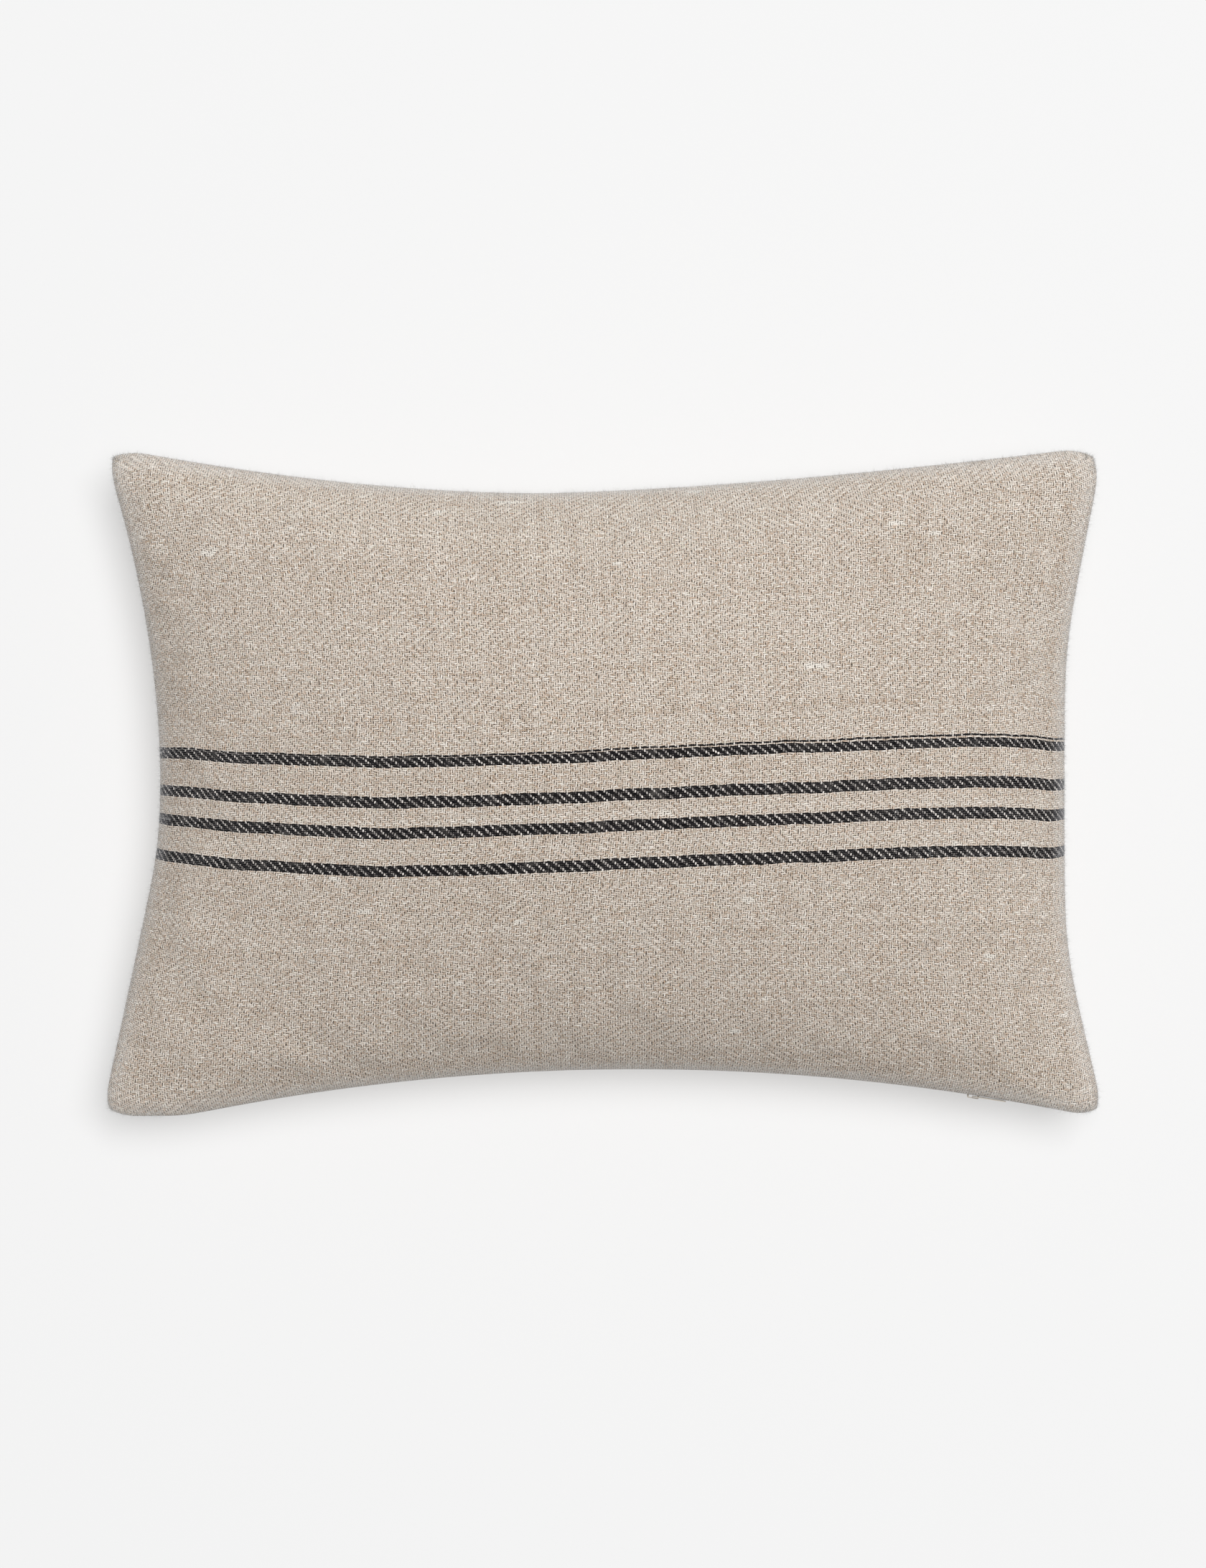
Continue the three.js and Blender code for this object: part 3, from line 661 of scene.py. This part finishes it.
# ---------------------------------------------------------------- the linen
END_PITCH = 1.386 * MM  # from one warp yarn to the next
PICK_PITCH = 1.125 * MM  # from one weft yarn to the next
HALF_END = 0.315  # half a yarn's width, in pitches
HALF_PICK = 0.415
WAVER = 0.8  # how far a yarn strays from its own line, in pitches from one side to the other
BAND = 19  # picks before the twill turns back
STRIPE_PICKS = 6
STRIPE_FIRST = (0, -21, -37, -57)  # the first black pick of each stripe, counted from the top one's
STRIPE_V = 11.5 * MM  # the cloth's V at pick 0
HALF_PI = math.pi / 2
CRIMP = 0.75  # how far a yarn's middle line rises and dips, in yarn radii
BLACK_OVER = 0.45  # how much the stripes' black weft lies over their warp
YARN_RISE = 0.9
OPEN_GAP = 3.0  # beside a yarn there is nothing of it
WEFT_SUNK = 0.12  # the weft lies a little deeper than the warp
DEEPEST = -1.3  # what shows in a gap
SHADED = (-0.62, 1.1)  # heights between which a yarn's shade goes from a gap's to none
LINEN_RELIEF = 0.32 * MM
CLOTH_ROUGHNESS = 0.9

YARN_DARK, YARN_LIGHT = linear(180, 155, 132), linear(255, 249, 240)
YARN_WARM, YARN_GREEN = linear(222, 186, 154), linear(206, 206, 172)
FLECK, SLUB, THICK_SLUB = linear(190, 128, 62), linear(238, 232, 222), linear(250, 244, 234)
# the black weft, and the painted highlights that streak along its fibres
BLACK_DARK, BLACK_PAINTED_HIGHLIGHT = linear(7, 5, 7), linear(60, 54, 60)
PEEK_LIGHT, PEEK_DARK = linear(250, 243, 236), linear(58, 52, 52)  # warp that shows in a stripe
HAZE, HAZE_ON_BLACK = linear(206, 197, 185), linear(50, 49, 56)
# painted sheen: the pale band along the seams, on the natural linen and on the black
SEAM_PAINTED_SHEEN, SEAM_PAINTED_SHEEN_BLACK = linear(238, 235, 231), linear(128, 130, 146)
SHEEN_TINT = (0.93, 0.96, 1.0, 1.0)
# the first is the painted shade at the bottom of a gap between yarns; white leaves a yarn's top unshaded
PAINTED_GAP_SHADE, WHITE = (0.045, 0.03, 0.02, 1), (1, 1, 1, 1)


def skew(u, v):
    """How far the weft lies above its straight line across the cloth, in metres."""
    s = u / 0.29
    slope = s * 0.0055 + s * s * 0.004 - s * s * s * 0.001
    left_lift = (-u).ramp(0.115, 0.255) * 0.0062 * (1 - (v + 0.016) * 8)
    return slope + left_lift + u.ramp(0.12, 0.2) * 0.0013 - u.ramp(0.225, 0.285) * 0.0012


def twill_climb(pick, striped):
    """How many ends the twill has moved at a pick: it turns back every BAND picks."""
    if not striped:
        return (pick + 0.5).pingpong(BAND) + 0.5
    top = STRIPE_FIRST[0] + STRIPE_PICKS + 0.5
    low = STRIPE_FIRST[3] - 8.5
    climb = (pick - top).max(0).pingpong(BAND) + (pick.max(low) - top).min(0)
    climb = climb + (STRIPE_FIRST[0] - 0.5 - pick).clamp(0, 4.5) * 2
    climb = climb + (STRIPE_FIRST[2] - 0.5 - pick).clamp(0, 4) * 2
    return climb + (low - pick).max(0).pingpong(BAND) + 0.5


def round_yarn(across):
    """The top of a yarn, where across is 0 at its middle and 1 at its sides."""
    return (1 - across * across).max(0).sqrt() * YARN_RISE - across.more(1) * OPEN_GAP


class Weave:
    """The linen's yarns in a material: which one is on top, how high it is and its colour."""

    def __init__(self, tree, striped):
        self.tree, self.striped = tree, striped
        self.u, self.v, self.from_seam = cloth_attribute(tree)
        self.end, self.pick = self.place_of_yarns()
        self.end_id, self.pick_id = self.end.round(), self.pick.round()
        self.black = self.black_picks() if striped else None
        self.slub = self.noise(self.u * 55, self.pick_id * 3.3, 5.0).ramp(0.70, 0.80)
        self.over, self.height = self.crossing()

    def noise(self, x, y, z=0.0, detail=1.0, roughness=0.5):
        """Noise over the cloth: u and v are multiplied by its spots per metre, a yarn's number by
        a value that sets neighbours apart, and z keeps one noise from another."""
        return noise(self.tree, vector(self.tree, x, y, z), 1.0, detail, roughness)

    def wander(self, size, *where, detail=1.0):
        """Noise around 0 that stays within about half of size."""
        return (self.noise(*where, detail=detail) - 0.5) * size

    def blend(self, share, low, high):
        return mix_colour(self.tree, share, low, high)

    def place_of_yarns(self):
        """The place on the cloth, counted in warp ends and weft picks, which drift together."""
        u, v = self.u, self.v
        end = u / END_PITCH + self.wander(1.2, u * 50, v * 12, detail=2.0)
        drift = self.wander(1.2, u * 12, v * 50, 3.7, detail=2.0)
        drift = drift + self.wander(1.0, u * 230, v * 90, 8.1)
        pick = (v - STRIPE_V - skew(u, v)) / PICK_PITCH + drift
        if self.striped:
            # a light pick wedges itself under the top stripe's last black one, wider towards +X
            wedge = u.ramp(-0.20, 0.26, 0.06, 0.95)
            beyond = (pick - (STRIPE_PICKS - 1.5)).max(0)
            pick = pick + (beyond / wedge).min(1) - beyond.min(wedge)
        return end, pick

    def black_picks(self):
        """1 on the stripes' picks; the top one's last pick lies one farther, behind a light one."""
        black = (self.pick_id - STRIPE_PICKS).abs().less(0.5)
        for first in STRIPE_FIRST:
            middle = first + (STRIPE_PICKS - 1) / 2
            black = black.max((self.pick_id - middle).abs().less(STRIPE_PICKS / 2))
        return black * (self.pick_id - (STRIPE_PICKS - 1)).abs().more(0.5)

    def crossing(self):
        """Whether the warp is on top, and how high the upper yarn is."""
        u, v, end_id, pick_id = self.u, self.v, self.end_id, self.pick_id
        half_end = self.wander(0.28, end_id * 7.3, v * 140, detail=2.0) + HALF_END
        half_pick = self.wander(0.32, u * 140, pick_id * 5.1, detail=2.0) + HALF_PICK
        half_pick = half_pick + self.slub * 0.2
        if self.striped:
            half_end = half_end + self.black * 0.04
        beside_end = self.end - end_id - self.wander(WAVER, end_id * 7.7, v * 330)
        beside_pick = self.pick - pick_id - self.wander(WAVER, u * 330, pick_id * 7.7)
        warp_phase = end_id + twill_climb(self.pick, self.striped) + 0.5
        weft_phase = self.end + twill_climb(pick_id, self.striped) + 0.5
        warp_rise = ((warp_phase - 1.0) * HALF_PI).cos()
        weft_rise = -((weft_phase - 1.0) * HALF_PI).cos()
        if self.striped:
            black_warp_rise = ((warp_phase - 0.5) * HALF_PI).cos() - BLACK_OVER
            black_weft_rise = BLACK_OVER - ((weft_phase - 0.5) * HALF_PI).cos()
            warp_rise = mix(self.tree, self.black, warp_rise, black_warp_rise)
            weft_rise = mix(self.tree, self.black, weft_rise, black_weft_rise)
        warp_top = warp_rise * CRIMP + round_yarn((beside_end / half_end).abs())
        weft_top = weft_rise * CRIMP + round_yarn((beside_pick / half_pick).abs()) - WEFT_SUNK
        return warp_top.more(weft_top), warp_top.max(weft_top).max(DEEPEST)

    def natural_colour(self):
        """Every yarn has its own shade, which changes along it, with flecks and thick places."""
        tree, u, v, over = self.tree, self.u, self.v, self.over
        along_end = self.noise(self.end_id * 3.1, v * 150, 0.0, 3.0, 0.6)
        along_pick = self.noise(u * 120, self.pick_id * 2.3, 0.0, 3.0, 0.6)
        own_end, own_pick = random_of(tree, self.end_id, 11.0), random_of(tree, self.pick_id, 57.0)
        own = mix(tree, over, own_pick, own_end)
        grain = self.noise(u * 900, v * 900, 2.0, 3.0, 0.7)
        shade = own * 0.14 + mix(tree, over, along_pick, along_end) + (grain - 0.5) * 1.5
        colour = self.blend(shade.ramp(0.15, 1.0), YARN_DARK, YARN_LIGHT)
        tint = self.noise(u * 420, v * 420, 9.0, 2.0, 0.7)
        colour = self.blend(tint.ramp(0.54, 0.72) * 0.5, colour, YARN_WARM)
        colour = self.blend(tint.ramp(0.46, 0.28) * 0.3, colour, YARN_GREEN)
        fleck = self.noise(u * 330, v * 330, 21.0).ramp(0.80, 0.85)
        colour = self.blend(fleck * 0.8, colour, FLECK)
        colour = self.blend(self.slub * (1 - over) * 0.6, colour, SLUB)
        thick = self.noise(u * 45, (self.pick * 0.42).round() * 4.3, 13.0).ramp(0.71, 0.76)
        return self.blend(thick * 0.8, colour, THICK_SLUB)

    def striped_colour(self, colour):
        """In the stripes the weft is black with painted highlights along its fibres, and some of the warp between
        is dark.
        """
        # painted highlights: thin lighter streaks along the black weft's fibres
        fibre = self.noise(self.u * 160, self.v * 2400, 4.0, 2.0, 0.6)
        dark = self.blend(fibre.ramp(0.50, 0.80), BLACK_DARK, BLACK_PAINTED_HIGHLIGHT)
        peek = self.blend(self.black, colour, PEEK_LIGHT)
        hidden = random_of(self.tree, self.end_id, self.pick_id).power(0.7) * self.black * 0.97
        peek = self.blend(hidden, peek, PEEK_DARK)
        return self.blend(self.black * (1 - self.over), peek, dark)

    def fuzzy(self, colour):
        """Short fuzz lies over the weave in soft patches, and a painted sheen makes the cloth paler near its
        seams.
        """
        fuzz = self.noise(self.u * 90, self.v * 90, 33.0, 5.0, 0.7)
        haze, painted_seam_sheen = HAZE, SEAM_PAINTED_SHEEN
        if self.striped:
            haze = self.blend(self.black * 0.75, HAZE, HAZE_ON_BLACK)
            painted_seam_sheen = self.blend(self.black * 0.6, SEAM_PAINTED_SHEEN, SEAM_PAINTED_SHEEN_BLACK)
        colour = self.blend(fuzz.ramp(0.52, 0.76) * 0.5, colour, haze)
        # painted sheen: a pale band where the cloth turns down to its seams
        painted_sheen_near_seam = self.from_seam.ramp(0.020, 0.006, 0, 0.22) * (fuzz.ramp(0.3, 0.7) * 0.6 + 0.7)
        return self.blend(painted_sheen_near_seam, colour, painted_seam_sheen)


def linen(name, striped):
    """Round yarns that rise over and dip under each other, with painted shade that darkens the gaps between them.
    """
    material, tree, shader = new_material(
        name, CLOTH_ROUGHNESS, Sheen_Weight=0.7, Sheen_Roughness=0.24, Sheen_Tint=SHEEN_TINT,
        Specular_IOR_Level=0.2)
    weave = Weave(tree, striped)
    yarn = weave.natural_colour()
    if striped:
        yarn = weave.striped_colour(yarn)
    # painted shade: the colour darkens with the weave's depth, in the gaps and down the yarns' sides
    shadow = mix_colour(tree, weave.height.ramp(*SHADED), PAINTED_GAP_SHADE, WHITE)
    colour = weave.fuzzy(mix_colour(tree, 1.0, yarn, shadow, "MULTIPLY"))
    tree.links.new(colour, shader.inputs["Base Color"])
    bump(tree, shader, weave.height, LINEN_RELIEF, 0.8)
    return material


# ---------------------------------------------------------------- simple materials
def plain_cloth(name, light, dark, pitch):
    """A plain weave, for the insert, with painted shade that darkens each yarn towards its sides."""
    material, tree, shader = new_material(name, CLOTH_ROUGHNESS)
    u, v, _ = cloth_attribute(tree)
    end, pick = u / pitch, v / pitch
    end_id, pick_id = end.round(), pick.round()
    odd = (end_id + pick_id).pingpong(1.0)
    rise = mix(tree, odd, (end * math.pi).cos().abs(), (pick * math.pi).cos().abs())
    shade = random_of(tree, end_id) * 0.5 + random_of(tree, pick_id, 5.0) * 0.5
    # the yarns' random tones, mixed with painted shade from each yarn's height
    colour = mix_colour(tree, shade * 0.5 + rise * 0.5, dark, light)
    tree.links.new(colour, shader.inputs["Base Color"])
    bump(tree, shader, rise, 0.15 * MM)
    return material


def fine_surface(name, light, dark, scale, distance, roughness):
    """An even surface with a fine grain; the distance is how deep it is, in millimetres."""
    material, tree, shader = new_material(name, roughness)
    grain = noise(tree, object_position(tree), scale, 4.0, 0.6)
    colour = mix_colour(tree, grain.ramp(0.3, 0.7), linear(*dark), linear(*light))
    tree.links.new(colour, shader.inputs["Base Color"])
    bump(tree, shader, grain, distance * MM)
    return material


# ---------------------------------------------------------------- pieces
def add_cover():
    for side, name, node, slot, striped in (
        (1, "cover_front", "front_panel", "striped_linen", True),
        (-1, "cover_back", "back_panel", "plain_linen", False),
    ):
        piece = sewn_panel(
            name, side, COVER, 0.0, CROWN, 0.0, zipper_zone, wrinkled, COVER_GRID)
        piece.data.materials.append(linen(slot, striped))
        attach(piece, "pillow")
        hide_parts(node)


def add_fibres():
    material = fine_surface("linen_fibre", (248, 248, 248), (222, 222, 220), 90, 0.01, 1.0)
    for name, (paths, radius), slot in (
        ("fuzz_front", edge_fuzz(1, FRONT_FUZZ), "striped_linen"),
        ("fuzz_back", edge_fuzz(-1, BACK_FUZZ), "plain_linen"),
        ("stray_fibres", stray_fibres(STRAY_FIBRES), "striped_linen"),
    ):
        piece = fibre_mesh(name, paths, radius)
        piece.data.materials.append(material)
        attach(piece, "pillow")


def add_insert():
    crown = CROWN - COVER["cloth"] - INSERT_CLEARANCE
    floor = COVER["cloth"] + INSERT_CLEARANCE
    calico = plain_cloth(
        "insert_calico", linear(236, 233, 225), linear(214, 208, 196), 0.6 * MM)
    for side, name, node in (
        (1, "insert_front", "insert_front_panel"),
        (-1, "insert_back", "insert_back_panel"),
    ):
        piece = sewn_panel(
            name, side, INSERT, INSERT_INSET, crown, floor, no_zipper, layer_point, INSERT_GRID)
        piece.data.materials.append(calico)
        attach(piece, "pillow")
        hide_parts(node)


def dress_cad_nodes():
    """Gives the CAD nodes that stay their materials, by material slot."""
    looks = {
        row[0]: fine_surface(*row)
        for row in (
            ("loose_filling", (248, 247, 243), (228, 226, 220), 260, 2, 1.0),
            ("sewing_thread", (214, 204, 188), (190, 178, 160), 2200, 0.1, 0.8),
            ("label_satin", (244, 243, 240), (228, 226, 222), 1500, 0.05, 0.5),
            ("zipper_tape", (206, 194, 178), (180, 168, 152), 1200, 0.1, 0.9),
            ("zipper_nylon", (210, 200, 184), (188, 178, 162), 900, 0.1, 0.4),
            ("zipper_enamel", (204, 196, 184), (190, 181, 168), 500, 0.02, 0.5),
        )
    }
    slots = {part["node"]: part["material_slot"] for part in frame["record"]["subparts"]}
    for node, thing in frame["nodes"].items():
        if slots[node] in looks:
            thing.data.materials.clear()
            thing.data.materials.append(looks[slots[node]])


# ---------------------------------------------------------------- floor, light, camera: in metres
CAMERA_DISTANCE = 2.5  # above the seam's plane
CAMERA_Y = -0.0015
FRAME_HEIGHT = 0.945  # what the view takes in at the seam's plane
SENSOR = 36.0
FLOOR_HALF = 6.0
FLOOR_STEPS = 12
FLOOR_DROP = 0.2 * MM  # the paper lies just below the pillow's lowest point
FLOOR_GLOW = 0.475
LAMP_HEIGHT = 7.5
LAMPS = (  # name, place, size, watts, whether it lights the floor alone or all but the floor
    ("key", (2.9, 3.6), 2.6, 455, "EXCLUDE"),
    ("fill", (-0.6, 0.3), 4.6, 160, "EXCLUDE"),
    ("floor_light", (1.05, 1.0), 3.2, 560, "INCLUDE"),
)
WORLD_LIGHT = 0.25
WORLD_SEEN = 0.913  # how bright the background is to the camera


def add_floor():
    t = np.linspace(-FLOOR_HALF, FLOOR_HALF, FLOOR_STEPS + 1)
    x, y = np.meshgrid(t, t)
    points = np.stack([x.ravel(), y.ravel(), np.full(x.size, -FLOOR_DROP)], 1) / MM
    floor = new_mesh("floor", points, grid_faces(0, FLOOR_STEPS, FLOOR_STEPS, False))
    material, tree, shader = new_material(
        "floor_paper", 0.95, Specular_IOR_Level=0.0, Emission_Strength=FLOOR_GLOW,
        Emission_Color=(0.9, 0.9, 0.9, 1))
    grain = noise(tree, object_position(tree), 900, 2.0)
    colour = mix_colour(tree, grain, linear(173, 173, 173), linear(175, 175, 175))
    tree.links.new(colour, shader.inputs["Base Color"])
    floor.data.materials.append(material)
    return floor


def add_lamp(name, place, size, power, floor_link, floor):
    """A square softbox overhead."""
    light = bpy.data.lights.new(name, "AREA")
    light.shape = "SQUARE"
    light.size = size
    light.energy = power
    lamp = bpy.data.objects.new(name, light)
    lamp.location = (*place, LAMP_HEIGHT)
    lamp.rotation_euler = (Vector((0, 0, 0)) - lamp.location).to_track_quat("-Z", "Y").to_euler()
    lamp.visible_camera = False
    bpy.context.scene.collection.objects.link(lamp)
    linked = bpy.data.collections.new(name + "_link")
    linked.objects.link(floor)
    linked.collection_objects[0].light_linking.link_state = floor_link
    lamp.light_linking.receiver_collection = linked


def add_world():
    world = bpy.data.worlds.new("studio")
    bpy.context.scene.world = world
    world.use_nodes = True
    tree = world.node_tree
    background = tree.nodes["Background"]
    background.inputs["Color"].default_value = (1, 1, 1, 1)
    path = tree.nodes.new("ShaderNodeLightPath")
    level = mix(tree, Wire(tree, path.outputs["Is Camera Ray"]), WORLD_LIGHT, WORLD_SEEN)
    plug(tree, level, background.inputs["Strength"])


def add_camera():
    camera = bpy.data.cameras.new("camera")
    camera.sensor_fit = "VERTICAL"
    camera.sensor_height = SENSOR
    camera.lens = SENSOR * CAMERA_DISTANCE / FRAME_HEIGHT
    camera.clip_end = 50
    view = bpy.data.objects.new("camera", camera)
    view.location = (0.0, CAMERA_Y, SEAM_Z * MM + CAMERA_DISTANCE)
    bpy.context.scene.collection.objects.link(view)
    bpy.context.scene.camera = view


add_cover()
add_fibres()
add_insert()
dress_cad_nodes()
floor = add_floor()
for lamp in LAMPS:
    add_lamp(*lamp, floor)
add_world()
add_camera()
bpy.context.scene.view_settings.view_transform = "Standard"
